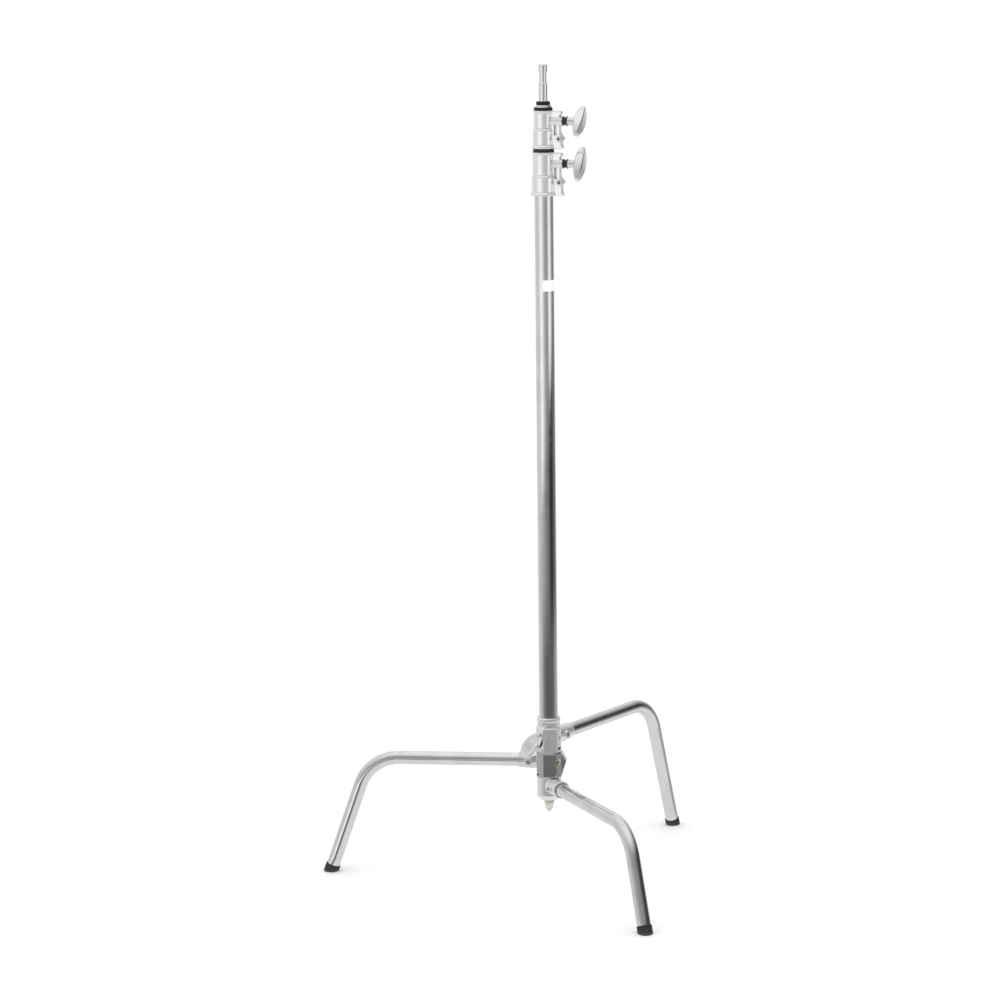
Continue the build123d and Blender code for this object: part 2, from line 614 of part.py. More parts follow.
# ======== T-handles ========
def oval(half_length, half_width, end_radius):
    """A face bounded by four tangent arcs, long in Y. end_radius is the radius of its two ends."""
    end_centre = half_length - end_radius
    side_radius = (end_centre**2 + half_width**2 - end_radius**2) / (2 * (half_width - end_radius))
    reach = end_radius / (side_radius - end_radius)
    join_x, join_y = (side_radius - half_width) * reach, end_centre * (1 + reach)
    with BuildSketch() as outline:
        with BuildLine():
            ThreePointArc((join_x, -join_y), (half_width, 0), (join_x, join_y))
            ThreePointArc((join_x, join_y), (0, half_length), (-join_x, join_y))
            ThreePointArc((-join_x, join_y), (-half_width, 0), (-join_x, -join_y))
            ThreePointArc((-join_x, -join_y), (0, -half_length), (join_x, -join_y))
        make_face()
    return outline.sketch


def build_handle(azimuth, height, pad_end, barrel_end, stem, turn):
    """A T-handle: a screw, a round stem and a broad oval paddle square to it, turned about its axis."""
    stem_start = barrel_end + collar_start + collar_width + collar_gap
    stem_end = stem_start + stem
    outward = radial(azimuth)
    span = Vector(0, 0, 1).rotate(Axis((0, 0, 0), outward), turn)
    middle = outward * (stem_end + paddle_half_thickness - 1) + Vector(0, 0, height)
    face = Plane(origin=middle, x_dir=span.cross(outward), z_dir=outward)
    edge_view = Plane(origin=middle, x_dir=span, z_dir=span.cross(outward))
    tip, tip_half = paddle_half_length + 1, paddle_half_thickness - paddle_tip_fall
    screw, neck = height + screw_radius, height + 7.8
    with BuildPart() as handle:
        with BuildSketch(face):
            add(oval(paddle_half_length, paddle_half_width, 7.0))
        extrude(amount=paddle_half_thickness, both=True)
        with BuildSketch(edge_view):
            with BuildLine():
                ThreePointArc((-tip, -tip_half), (0, -paddle_half_thickness), (tip, -tip_half))
                Line((tip, -tip_half), (tip, tip_half))
                ThreePointArc((tip, tip_half), (0, paddle_half_thickness), (-tip, tip_half))
                Line((-tip, tip_half), (-tip, -tip_half))
            make_face()
        extrude(amount=paddle_half_width + 1, both=True, mode=Mode.INTERSECT)
        side_lines = handle.edges().filter_by(lambda edge: abs(face.to_local_coords(edge.center()).Z) < 2.0)
        fillet(handle.edges() - side_lines, radius=paddle_edge_radius)
        with BuildSketch(side_plane(azimuth)):
            with BuildLine():
                Polyline((pad_end, height), (pad_end, screw - 0.8), (pad_end + 0.8, screw),
                         (stem_start, screw), (stem_start, neck - 0.8), (stem_start + 1, neck),
                         (stem_end - 1, neck - 0.3), (stem_end + 5, neck + 1.2), (stem_end + 5, height),
                         close=True)
            make_face()
        revolve(axis=Axis((0, 0, height), outward))
    return handle


def build_handle_collar(azimuth, height, barrel_end):
    """The black plastic collar between a barrel and its T-handle, as two cones tip to tip."""
    start = barrel_end + collar_start
    end = start + collar_width
    bore, waist, rim = height + screw_radius, height + 6.9, height + 9.1
    middle = (start + end) / 2
    with BuildPart() as collar:
        with BuildSketch(side_plane(azimuth)):
            with BuildLine():
                Polyline((start, bore), (start, rim - 0.6), (start + 0.6, rim), (middle - 1, waist),
                         (middle + 1, waist), (end - 0.6, rim), (end, rim - 0.6), (end, bore), close=True)
            make_face()
        revolve(axis=Axis((0, 0, height), radial(azimuth)))
    return collar


def build_pad(azimuth, height, tube_radius):
    """The brass pressure pad at a screw's tip. Its end is hollowed to the tube that it holds."""
    with BuildPart() as pad:
        with BuildSketch(outward_plane(azimuth, height, tube_radius - 3)):
            Circle(screw_radius)
        extrude(amount=3 + pad_length)
        cut_round_bore(tube_radius + pad_gap, height - 10, height + 10)
    return pad


# Each handle is given as (azimuth, height, bore of its casting, end of its barrel, length of its stem, turn
# of its paddle).
lower_bore_radius, upper_bore_radius = middle_riser_radius + running_gap, top_riser_radius + running_gap
handle_sets = {
    "base": (base_handle_azimuth, base_handle_height, sleeve_bore, base_barrel_end, base_stem,
             base_paddle_turn),
    "lower": (clamp_azimuth, lower_barrel_height, lower_bore_radius, barrel_reach, clamp_stem,
              lower_paddle_turn),
    "upper": (clamp_azimuth, upper_barrel_height, upper_bore_radius, barrel_reach, clamp_stem,
              upper_paddle_turn),
}
for handle_name, (azimuth, height, bore_radius, barrel_end, stem, turn) in handle_sets.items():
    screw_start = bore_radius + pad_length + 0.05
    save(build_pad(azimuth, height, bore_radius), f"{handle_name}_pad")
    save(build_handle(azimuth, height, screw_start, barrel_end, stem, turn), f"{handle_name}_handle")
    save(build_handle_collar(azimuth, height, barrel_end), f"{handle_name}_handle_collar")

# ======== top fitting ========
# The pin's plug sits in the top riser. A black bumper, a chromed cone and a black gasket stack round its
# narrower foot.
plug_radius, plug_depth = top_riser_radius - tube_wall, 60
top_riser_top = top_riser_bottom + top_riser_length
save(ring(top_riser_radius, 17.2, top_bumper_bottom, top_cone_bottom, edge=1.0), "top_bumper")
cone_profile = [(top_riser_radius, top_cone_bottom), (16.0, top_cone_bottom), (13.6, top_gasket_bottom)]
cone_profile += [(pin_foot_radius, top_gasket_bottom), (pin_foot_radius, top_riser_top)]
cone_profile += [(top_riser_radius, top_riser_top)]
save(turned(cone_profile), "top_cone")
save(ring(pin_foot_radius, 13.0, top_gasket_bottom, pin_base, edge=2.4), "top_gasket")
pin_profile = [(0, top_riser_top - plug_depth), (plug_radius, top_riser_top - plug_depth)]
pin_profile += [(plug_radius, top_riser_top), (pin_foot_radius, top_riser_top)]
pin_profile += [(pin_foot_radius, pin_base), (pin_radius, pin_base), (pin_radius, undercut_bottom)]
pin_profile += [(undercut_radius, undercut_bottom + 1.5), (undercut_radius, undercut_top - 1.5)]
pin_profile += [(pin_radius, undercut_top), (pin_radius, pin_top - 1.2)]
pin_profile += [(pin_radius - 1.2, pin_top), (0, pin_top)]
save(turned(pin_profile), "baby_pin")
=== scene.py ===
import json
import math

import bmesh
import bpy
from mathutils import Matrix, Vector


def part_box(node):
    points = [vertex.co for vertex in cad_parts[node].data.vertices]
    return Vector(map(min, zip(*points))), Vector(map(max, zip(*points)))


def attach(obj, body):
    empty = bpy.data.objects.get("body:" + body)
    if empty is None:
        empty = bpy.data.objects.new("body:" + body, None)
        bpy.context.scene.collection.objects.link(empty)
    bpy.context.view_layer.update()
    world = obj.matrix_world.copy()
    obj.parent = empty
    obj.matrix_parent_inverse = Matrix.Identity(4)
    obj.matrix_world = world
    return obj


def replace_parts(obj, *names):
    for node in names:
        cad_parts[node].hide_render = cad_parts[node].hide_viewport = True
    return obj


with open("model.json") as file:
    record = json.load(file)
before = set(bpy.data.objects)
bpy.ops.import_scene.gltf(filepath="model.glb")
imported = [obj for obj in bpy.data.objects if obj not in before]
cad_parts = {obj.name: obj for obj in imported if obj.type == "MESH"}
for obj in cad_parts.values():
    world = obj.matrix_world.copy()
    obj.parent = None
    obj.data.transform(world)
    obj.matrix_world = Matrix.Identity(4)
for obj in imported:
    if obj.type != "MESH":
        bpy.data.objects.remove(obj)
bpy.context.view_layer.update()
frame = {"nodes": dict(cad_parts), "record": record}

nodes = frame["nodes"]
for imported in list(bpy.data.materials):
    bpy.data.materials.remove(imported)

column_low, column_high = (Vector(corner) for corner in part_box("column_tube"))
axis_x, axis_y = (column_low.x + column_high.x) / 2, (column_low.y + column_high.y) / 2


# ---------------------------------------------------------------- node helpers
class Nodes:
    """A node tree being built. Each method adds one node and returns its output socket."""

    def __init__(self, tree):
        self.tree = tree

    def node(self, kind, **settings):
        made = self.tree.nodes.new(kind)
        for key, value in settings.items():
            setattr(made, key, value)
        return made

    def link(self, output, target):
        self.tree.links.new(output, target)

    def feed(self, value, target):
        """Links a socket to an input, or sets the input to a number or a colour."""
        if isinstance(value, bpy.types.NodeSocket):
            self.link(value, target)
        else:
            target.default_value = value if isinstance(value, (int, float)) else (*value, 1)

    def ramp(self, value, *stops):
        """Maps a value through (position, colour or grey) stops."""
        made = self.node("ShaderNodeValToRGB")
        points = made.color_ramp.elements
        points.remove(points[1])
        for index, (position, colour) in enumerate(stops):
            point = points.new(position) if index else points[0]
            point.position = position
            grey = isinstance(colour, (int, float))
            point.color = (colour, colour, colour, 1) if grey else (*colour, 1)
        self.link(value, made.inputs["Fac"])
        return made.outputs["Color"]

    def mix(self, amount, first, second):
        """Mixes two colours. Each is a socket or a plain colour, and amount is a socket or a number."""
        made = self.node("ShaderNodeMix", data_type="RGBA")
        for value, key in ((amount, "Factor"), (first, "A"), (second, "B")):
            self.feed(value, next(s for s in made.inputs if s.name == key and s.enabled))
        return next(s for s in made.outputs if s.enabled)

    def math(self, operation, first, second=0.0):
        made = self.node("ShaderNodeMath", operation=operation)
        self.feed(first, made.inputs[0])
        self.feed(second, made.inputs[1])
        return made.outputs["Value"]


class Material(Nodes):
    """A surface being built, with the textures that the finishes share."""

    def __init__(self, name):
        self.data = bpy.data.materials.new(name)
        self.data.use_nodes = True
        super().__init__(self.data.node_tree)
        self.surface = self.tree.nodes["Principled BSDF"]

    def place(self, scale=(1, 1, 1), use_uv=False):
        """Object or UV coordinates in metres, stretched by scale."""
        source = self.node("ShaderNodeTexCoord")
        mapping = self.node("ShaderNodeMapping")
        mapping.inputs["Scale"].default_value = scale
        self.link(source.outputs["UV" if use_uv else "Object"], mapping.inputs["Vector"])
        return mapping.outputs["Vector"]

    def noise(self, scale, detail=4, roughness=0.5, stretch=(1, 1, 1), use_uv=False):
        made = self.node("ShaderNodeTexNoise")
        made.inputs["Scale"].default_value = scale
        made.inputs["Detail"].default_value = detail
        made.inputs["Roughness"].default_value = roughness
        self.link(self.place(stretch, use_uv), made.inputs["Vector"])
        return made.outputs["Fac"]

    def speckle(self, scale):
        made = self.node("ShaderNodeTexVoronoi")
        made.inputs["Scale"].default_value = scale
        self.link(self.place(), made.inputs["Vector"])
        return made.outputs["Distance"]

    def edges(self, low, high):
        """White along worn outer edges, from the mesh's pointiness."""
        shape = self.node("ShaderNodeNewGeometry")
        return self.ramp(shape.outputs["Pointiness"], (low, 0.0), (high, 1.0))

    def hollows(self, reach):
        """White in the open and black in holes and narrow gaps."""
        made = self.node("ShaderNodeAmbientOcclusion", samples=8)
        made.inputs["Distance"].default_value = reach
        return made.outputs["AO"]

    def bump(self, height, distance, strength=1.0, below=None):
        made = self.node("ShaderNodeBump")
        made.inputs["Distance"].default_value = distance
        made.inputs["Strength"].default_value = strength
        self.link(height, made.inputs["Height"])
        if below:
            self.link(below, made.inputs["Normal"])
        return made.outputs["Normal"]

    def finish(self, colour, roughness, normal, **values):
        """Connects the surface. colour and roughness are sockets or plain values."""
        self.feed(colour, self.surface.inputs["Base Color"])
        self.feed(roughness, self.surface.inputs["Roughness"])
        self.link(normal, self.surface.inputs["Normal"])
        for key, value in values.items():
            self.surface.inputs[key.replace("_", " ")].default_value = value
        return self.data


# ---------------------------------------------------------------- finishes
def chromed_tube():
    """Mirror chrome on drawn tube: fine lengthwise drawing lines, faint smudges and a few pits."""
    m = Material("chromed_tube")
    smudge = m.noise(22, detail=5, roughness=0.6)
    lines = m.noise(1, detail=3, stretch=(2600, 24, 1), use_uv=True)
    tint = m.ramp(smudge, (0.35, (0.80, 0.81, 0.83)), (0.65, (0.90, 0.90, 0.90)))
    rough = m.math("ADD", m.ramp(smudge, (0.45, 0.015), (0.75, 0.07)), m.math("MULTIPLY", lines, 0.03))
    waviness = m.bump(m.noise(9, detail=1), 0.0003, 0.1)
    scratched = m.bump(lines, 0.000002, 0.3, below=waviness)
    pits = m.ramp(m.speckle(420), (0.02, 0.0), (0.05, 1.0))
    normal = m.bump(pits, 0.00001, 0.25, below=scratched)
    return m.finish(tint, rough, normal, Metallic=1.0)


def chromed_casting():
    """Chrome over a cast body: soft orange-peel, rougher hollows darkened with painted shade, and rubbed
    edges.
    """
    m = Material("chromed_casting")
    cloud = m.noise(38, detail=5, roughness=0.6)
    tint = m.ramp(cloud, (0.3, (0.84, 0.84, 0.845)), (0.7, (0.93, 0.925, 0.915)))
    worn = m.edges(0.50, 0.56)
    unshaded_colour = m.mix(worn, tint, (0.96, 0.955, 0.94))
    # Painted shade: holes and narrow gaps, found by ambient occlusion, are mixed towards near black and made
    # rougher.
    hollow_shade = m.ramp(m.hollows(0.008), (0.15, 1.0), (0.45, 0.35), (0.8, 0.0))
    colour = m.mix(hollow_shade, unshaded_colour, (0.02, 0.019, 0.018))
    rough = m.math("ADD", m.ramp(cloud, (0.4, 0.05), (0.75, 0.12)), m.math("MULTIPLY", hollow_shade, 0.4))
    peel = m.bump(m.noise(190, detail=3), 0.00007, 0.5)
    grain = m.bump(m.noise(1300, detail=2), 0.000003, 0.35, below=peel)
    return m.finish(colour, rough, grain, Metallic=0.72)


def polished_casting():
    """Chrome over a ground and polished body: flat mirror faces, with painted shade darkening its holes."""
    m = Material("polished_casting")
    cloud = m.noise(30, detail=4)
    # Painted shade: holes and narrow gaps, found by ambient occlusion, are mixed towards near black and made
    # rougher.
    hollow_shade = m.ramp(m.hollows(0.006), (0.12, 1.0), (0.45, 0.0))
    tint = m.ramp(cloud, (0.3, (0.76, 0.77, 0.785)), (0.7, (0.86, 0.86, 0.86)))
    colour = m.mix(hollow_shade, tint, (0.02, 0.019, 0.018))
    rough = m.math("ADD", m.ramp(cloud, (0.4, 0.06), (0.75, 0.13)), m.math("MULTIPLY", hollow_shade, 0.4))
    ground = m.bump(m.noise(75, detail=3), 0.00008, 0.5)
    return m.finish(colour, rough, ground, Metallic=0.97)


def polished_aluminium():
    """A polished cast handle: satin grain, small dents, brighter rubbed rims."""
    m = Material("polished_aluminium")
    cloud = m.noise(45, detail=5, roughness=0.55)
    worn = m.edges(0.505, 0.56)
    tint = m.ramp(cloud, (0.3, (0.84, 0.84, 0.845)), (0.7, (0.93, 0.93, 0.925)))
    colour = m.mix(worn, tint, (0.97, 0.97, 0.965))
    grain = m.noise(700, detail=3, stretch=(1, 1, 0.12))
    rough = m.math("ADD", m.ramp(cloud, (0.4, 0.1), (0.7, 0.18)), m.math("MULTIPLY", grain, 0.06))
    dents = m.bump(m.noise(120, detail=2), 0.0001, 0.4)
    return m.finish(colour, rough, m.bump(grain, 0.00001, 0.4, below=dents), Metallic=0.9)


def bright_steel():
    """Turned steel with fine tool marks, thinly plated, with painted shade darkening its hollows."""
    m = Material("bright_steel")
    marks = m.noise(1, detail=2, stretch=(300, 300, 5200))
    cloud = m.noise(60, detail=4)
    tint = m.ramp(cloud, (0.3, (0.74, 0.745, 0.75)), (0.7, (0.87, 0.87, 0.86)))
    # Painted shade: hollows and narrow gaps, found by ambient occlusion, are mixed towards a dark brown.
    hollow_shade = m.ramp(m.hollows(0.0045), (0.3, 1.0), (0.75, 0.0))
    colour = m.mix(hollow_shade, tint, (0.09, 0.055, 0.04))
    rough = m.math("ADD", m.ramp(cloud, (0.35, 0.2), (0.7, 0.34)), m.math("MULTIPLY", marks, 0.06))
    return m.finish(colour, rough, m.bump(marks, 0.000004, 0.5), Metallic=0.8)


def blackened_steel():
    """Near-black steel on a turned screw, its dark colour painted shade for the deep hole it sits in, rubbed
    brighter at its edges.
    """
    m = Material("blackened_steel")
    cloud = m.noise(90, detail=5)
    worn = m.edges(0.51, 0.6)
    # Painted shade: the near-black tint stands in for the dark of the deep hole, not for a real oxide colour.
    tint = m.ramp(cloud, (0.3, (0.05, 0.05, 0.052)), (0.7, (0.12, 0.118, 0.115)))
    rough = m.ramp(cloud, (0.35, 0.3), (0.7, 0.45))
    grain = m.bump(m.noise(1400, detail=2), 0.00001, 0.4)
    return m.finish(m.mix(worn, tint, (0.32, 0.31, 0.30)), rough, grain, Metallic=0.9)


def yellow_zinc():
    """Pale yellow zinc plate with its faint shift of hue, dulled where a spanner has sat."""
    m = Material("yellow_zinc")
    shift = m.noise(70, detail=3)
    tint = m.ramp(shift, (0.3, (0.84, 0.81, 0.66)), (0.5, (0.88, 0.87, 0.76)), (0.7, (0.80, 0.83, 0.75)))
    rough = m.ramp(m.noise(160, detail=4), (0.35, 0.22), (0.7, 0.4))
    return m.finish(tint, rough, m.bump(m.noise(900, detail=2), 0.000005, 0.4), Metallic=0.8)


def brass():
    """Dull turned brass with a patchy, darker patina."""
    m = Material("brass")
    patina = m.noise(140, detail=5)
    tint = m.ramp(patina, (0.3, (0.42, 0.32, 0.16)), (0.6, (0.72, 0.58, 0.32)))
    rough = m.ramp(patina, (0.35, 0.42), (0.7, 0.24))
    marks = m.noise(1, detail=2, stretch=(3000, 3000, 400))
    return m.finish(tint, rough, m.bump(marks, 0.000005, 0.4), Metallic=1.0)


def black_rubber():
    """Matt moulded rubber, scuffed grey, with dust towards the floor."""
    m = Material("black_rubber")
    scuff = m.ramp(m.noise(85, detail=8, roughness=0.7), (0.5, 0.0), (0.72, 1.0))
    height = m.node("ShaderNodeSeparateXYZ")
    m.link(m.place(), height.inputs["Vector"])
    dusty = m.ramp(height.outputs["Z"], (0.0, 0.75), (0.006, 0.25), (0.03, 0.0))
    dust = m.math("MULTIPLY", dusty, m.noise(500, detail=4))
    base = m.mix(scuff, (0.012, 0.012, 0.013), (0.035, 0.034, 0.033))
    colour = m.mix(dust, base, (0.16, 0.15, 0.14))
    rough = m.ramp(scuff, (0.0, 0.55), (1.0, 0.8))
    pores = m.bump(m.noise(1500, detail=2), 0.00005, 0.6)
    return m.finish(colour, rough, pores, Specular_IOR_Level=0.35)


def black_plastic():
    """Matt moulded plastic with a fine spark-eroded texture and lighter rubbed edges."""
    m = Material("black_plastic")
    texture = m.noise(1900, detail=2)
    cloud = m.noise(70, detail=4)
    worn = m.edges(0.51, 0.58)
    colour = m.mix(worn, m.ramp(cloud, (0.3, 0.014), (0.7, 0.026)), (0.06, 0.06, 0.062))
    rough = m.ramp(cloud, (0.35, 0.38), (0.7, 0.52))
    return m.finish(colour, rough, m.bump(texture, 0.00003, 0.5))


def pale_nylon():
    """Natural nylon: milky, with faint flow marks."""
    m = Material("pale_nylon")
    flow = m.noise(60, detail=4, stretch=(1, 1, 3))
    tint = m.ramp(flow, (0.3, (0.76, 0.74, 0.68)), (0.7, (0.86, 0.85, 0.80)))
    rough = m.ramp(flow, (0.3, 0.42), (0.7, 0.56))
    return m.finish(tint, rough, m.bump(m.noise(700), 0.00003, 0.4), Subsurface_Weight=0.15,
                    Subsurface_Radius=(0.002, 0.002, 0.0015))


def blank_label():
    """Plain white film with a faint paper fleck and slightly grubby patches."""
    m = Material("blank_label")
    fleck = m.noise(900, detail=4, roughness=0.7)
    grubby = m.ramp(m.noise(130, detail=5), (0.45, 0.0), (0.75, 0.35))
    base = m.ramp(fleck, (0.35, (0.90, 0.90, 0.89)), (0.65, (0.96, 0.96, 0.95)))
    colour = m.mix(grubby, base, (0.82, 0.81, 0.77))
    rough = m.ramp(fleck, (0.3, 0.38), (0.7, 0.5))
    return m.finish(colour, rough, m.bump(fleck, 0.00002, 0.5))


finishes = {made.name: made for made in (
    chromed_tube(), chromed_casting(), polished_casting(), polished_aluminium(), bright_steel(),
    blackened_steel(), yellow_zinc(), brass(), black_rubber(), black_plastic(), pale_nylon(),
    blank_label())}
slot_of = {part["node"]: part["material_slot"] for part in frame["record"]["subparts"]}
for node_name, node in nodes.items():
    node.data.materials.clear()
    node.data.materials.append(finishes[slot_of[node_name]])


# ---------------------------------------------------------------- mesh helpers
longest_share = 0.48


def rounded(points, radius, steps=5, closed=True):
    """A profile with each corner replaced by a curve that takes at most the longest share of a side.

    radius is one number or one for each point.
    """
    radii = radius if isinstance(radius, (list, tuple)) else [radius] * len(points)
    made, count = [], len(points)
    for i, (point, size) in enumerate(zip(points, radii)):
        corner = Vector(point)
        if size <= 0 or (not closed and i in (0, count - 1)):
            made.append(corner)
            continue
        before = Vector(points[i - 1]) - corner
        after = Vector(points[(i + 1) % count]) - corner
        half = before.angle(after) / 2
        reach = min(size / math.tan(half), before.length * longest_share, after.length * longest_share)
        start, end = corner + before.normalized() * reach, corner + after.normalized() * reach
        for step in range(steps + 1):
            t = step / steps
            made.append(start * (1 - t) ** 2 + corner * 2 * t * (1 - t) + end * t ** 2)
    return made


def new_object(name, builder, body, slot):
    """Makes an object from a finished bmesh, smooth shaded, that rides on a body."""
    mesh = bpy.data.meshes.new(name)
    bmesh.ops.recalc_face_normals(builder, faces=builder.faces)
    builder.to_mesh(mesh)
    builder.free()
    mesh.shade_smooth()
    made = bpy.data.objects.new(name, mesh)
    bpy.context.scene.collection.objects.link(made)
    made.modifiers.new("even shading", "WEIGHTED_NORMAL").weight = 80
    mesh.materials.append(finishes[slot])
    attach(made, body)
    return made


def grid_of_rings(builder, rings, closed, width, lengths):
    """Joins rings of vertices into quads. UVs run round each ring and along the rings, in metres."""
    uv = builder.loops.layers.uv.verify()
    count = len(rings)
    spans = count if closed else count - 1
    for i in range(spans):
        first, second = rings[i], rings[(i + 1) % count]
        size = max(len(first), len(second))
        for j in range(size):
            k = (j + 1) % size
            corners = [(first, j, i), (first, k, i), (second, k, i + 1), (second, j, i + 1)]
            loop_corners, seen = [], set()
            for ring, index, row in corners:
                vertex = ring[index % len(ring)]
                if vertex not in seen:
                    seen.add(vertex)
                    loop_corners.append((vertex, row))
            face = builder.faces.new([vertex for vertex, row in loop_corners])
            for loop, (vertex, row) in zip(face.loops, loop_corners):
                around = j if vertex in (first[j % len(first)], second[j % len(second)]) else j + 1
                loop[uv].uv = (around / size * width, lengths[row])


def circle_of_points(builder, centre, radius, across, up, segments):
    """A ring of vertices about a centre, in the plane of two directions."""
    ring = []
    for step in range(segments):
        angle = 2 * math.pi * step / segments
        offset = math.cos(angle) * across + math.sin(angle) * up
        ring.append(builder.verts.new(centre + radius * offset))
    return ring


def lathe(name, profile, body, slot, segments=128, closed=True):
    """Turns a profile of (radius, height) points about the column's axis."""
    builder = bmesh.new()
    along_x, along_y = Vector((1, 0, 0)), Vector((0, 1, 0))
    rings, lengths, travelled = [], [], 0.0
    for i, (radius, height) in enumerate(profile):
        if i:
            travelled += (Vector(profile[i]) - Vector(profile[i - 1])).length
        lengths.append(travelled)
        centre = Vector((axis_x, axis_y, height))
        if radius == 0:
            rings.append([builder.verts.new(centre)])
        else:
            rings.append(circle_of_points(builder, centre, radius, along_x, along_y, segments))
    lengths.append(travelled)
    widest = max(radius for radius, height in profile)
    grid_of_rings(builder, rings, closed, 2 * math.pi * widest, lengths)
    return new_object(name, builder, body, slot)


def swept_tube(name, path, outer, inner, body, slot, sideways, segments=72):
    """A hollow tube along a path in one vertical plane. sideways is the plane's level normal."""
    builder = bmesh.new()
    sections, lengths, travelled = [], [], 0.0
    for i, point in enumerate(path):
        ahead = (path[min(i + 1, len(path) - 1)] - path[max(i - 1, 0)]).normalized()
        sections.append((point, sideways.cross(ahead).normalized()))
        if i:
            travelled += (point - path[i - 1]).length
        lengths.append(travelled)
    rings = []
    for radius, stretch in ((outer, sections), (inner, reversed(sections))):
        for point, up in stretch:
            rings.append(circle_of_points(builder, point, radius, up, sideways, segments))
    lengths += [2 * travelled - length for length in reversed(lengths)] + [2 * travelled]
    grid_of_rings(builder, rings, True, 2 * math.pi * outer, lengths)
    return new_object(name, builder, body, slot)


# ---------------------------------------------------------------- tubes
tube_wall, tube_rim_radius = 0.0015, 0.0004


def box_radius(node):
    """The radius of a round piece that stands on the column's axis."""
    low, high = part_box(node)
    return (high[0] - low[0]) / 2


def box_heights(node):
    """The bottom and the top of a piece."""
    low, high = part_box(node)
    return low[2], high[2]


def replace_tube(node, body):
    """A straight tube with fine facets and small rounded rims."""
    bottom, top = box_heights(node)
    outer = box_radius(node)
    inner = outer - tube_wall
    profile = [(outer, bottom), (outer, top), (inner, top), (inner, bottom)]
    skin = lathe(node + "_skin", rounded(profile, tube_rim_radius, steps=3), body, "chromed_tube")
    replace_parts(skin, node)


replace_tube("column_tube", "column")
replace_tube("middle_riser_tube", "middle_riser")
replace_tube("top_riser_tube", "top_riser")


# ---------------------------------------------------------------- top fitting and bumpers
def replace_turned(node, body, profile, corners, slot):
    """Turns a closed half profile in place of a CAD node. corners holds each point's rounding."""
    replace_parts(lathe(node + "_skin", rounded(profile, corners, steps=6), body, slot), node)


def replace_ring(node, body, inner, corners, slot):
    """A moulded ring with rounded edges."""
    bottom, top = box_heights(node)
    outer = box_radius(node)
    replace_turned(node, body, [(outer, bottom), (outer, top), (inner, top), (inner, bottom)], corners, slot)


mount_of = {mount["name"]: mount for mount in frame["record"]["mounts"]}
pin_radius = mount_of["baby_pin"]["dims"]["r_mm"] / 1000
pin_foot_radius, undercut_radius, plug_radius = 0.007, 0.0065, 0.011
pin_bottom, pin_top = box_heights("baby_pin")
gasket_bottom, gasket_top = box_heights("top_gasket")
cone_bottom, cone_foot_radius, cone_top_radius = box_heights("top_cone")[0], 0.016, 0.0136
riser_top, riser_radius = box_heights("top_riser_tube")[1], box_radius("top_riser_tube")
middle_riser_clearance = 0.00006
pin_top_chamfer = 0.0012
undercut_bottom, undercut_top, undercut_slope = pin_top - 0.0344, pin_top - 0.0142, 0.0015
pin_profile = [
    (0, pin_bottom), (plug_radius, pin_bottom), (plug_radius, riser_top), (pin_foot_radius, riser_top),
    (pin_foot_radius, gasket_top), (pin_radius, gasket_top), (pin_radius, undercut_bottom),
    (undercut_radius, undercut_bottom + undercut_slope), (undercut_radius, undercut_top - undercut_slope),
    (pin_radius, undercut_top), (pin_radius, pin_top - pin_top_chamfer),
    (pin_radius - pin_top_chamfer, pin_top), (0, pin_top)]
pin_corners = [0, 0.0005, 0, 0, 0, 0, 0.0003, 0.0006, 0.0006, 0.0003, 0.0006, 0.0006, 0]
pin_outline = rounded(pin_profile, pin_corners, closed=False)
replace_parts(lathe("baby_pin_skin", pin_outline, "top_riser", "chromed_tube", closed=False), "baby_pin")

cone_profile = [
    (riser_radius, cone_bottom), (cone_foot_radius, cone_bottom), (cone_top_radius, gasket_bottom),
    (pin_foot_radius, gasket_bottom), (pin_foot_radius, riser_top), (riser_radius, riser_top)]
replace_turned("top_cone", "top_riser", cone_profile, [0, 0.0007, 0.0009, 0, 0, 0], "chromed_tube")
replace_ring("top_gasket", "top_riser", pin_foot_radius, [0.0024, 0.0026, 0, 0], "black_rubber")
replace_ring("top_bumper", "top_riser", riser_radius, [0.0011, 0.0012, 0.0004, 0], "black_rubber")
replace_ring("lower_bumper", "column", box_radius("middle_riser_tube") + middle_riser_clearance,
             [0.0012, 0.0014, 0.0004, 0], "black_plastic")

# ---------------------------------------------------------------- legs
leg_radius, leg_wall, leg_inner_end = 0.0127, 0.002, 0.026
corner_distance, bend_radius, rubber_under_tube = 0.342, 0.080, 0.008
straight_steps, bend_steps = 8, 32
leg_bodies = {"tall": "base", "middle": "middle_leg_set", "low": "low_leg_set"}


def leg_path(leg_name):
    """The leg's centre line: level out of its socket, round the bend and down to its foot."""
    height = box_heights(leg_name + "_leg")[1] - leg_radius
    foot = Vector(mount_of[leg_name + "_foot_face"]["pos_m"])
    outward = Vector((foot.x - axis_x, foot.y - axis_y, 0))
    foot_distance = outward.length
    outward.normalize()
    start, corner = Vector((leg_inner_end, height)), Vector((corner_distance, height))
    floor_point = Vector((foot_distance, 0))
    fall = (floor_point - corner).normalized()
    end = floor_point - fall * rubber_under_tube
    turn = Vector((1, 0)).angle(fall)
    bend_start = Vector((corner_distance - bend_radius * math.tan(turn / 2), height))
    centre = bend_start - Vector((0, bend_radius))
    line = [start.lerp(bend_start, step / straight_steps) for step in range(straight_steps)]
    for step in range(bend_steps + 1):
        angle = turn * step / bend_steps
        line.append(centre + bend_radius * Vector((math.sin(angle), math.cos(angle))))
    bend_end = line[-1]
    line += [bend_end.lerp(end, step / straight_steps) for step in range(1, straight_steps + 1)]
    path = [Vector((axis_x, axis_y, 0)) + outward * point.x + Vector((0, 0, point.y)) for point in line]
    return path, outward.cross(Vector((0, 0, 1)))


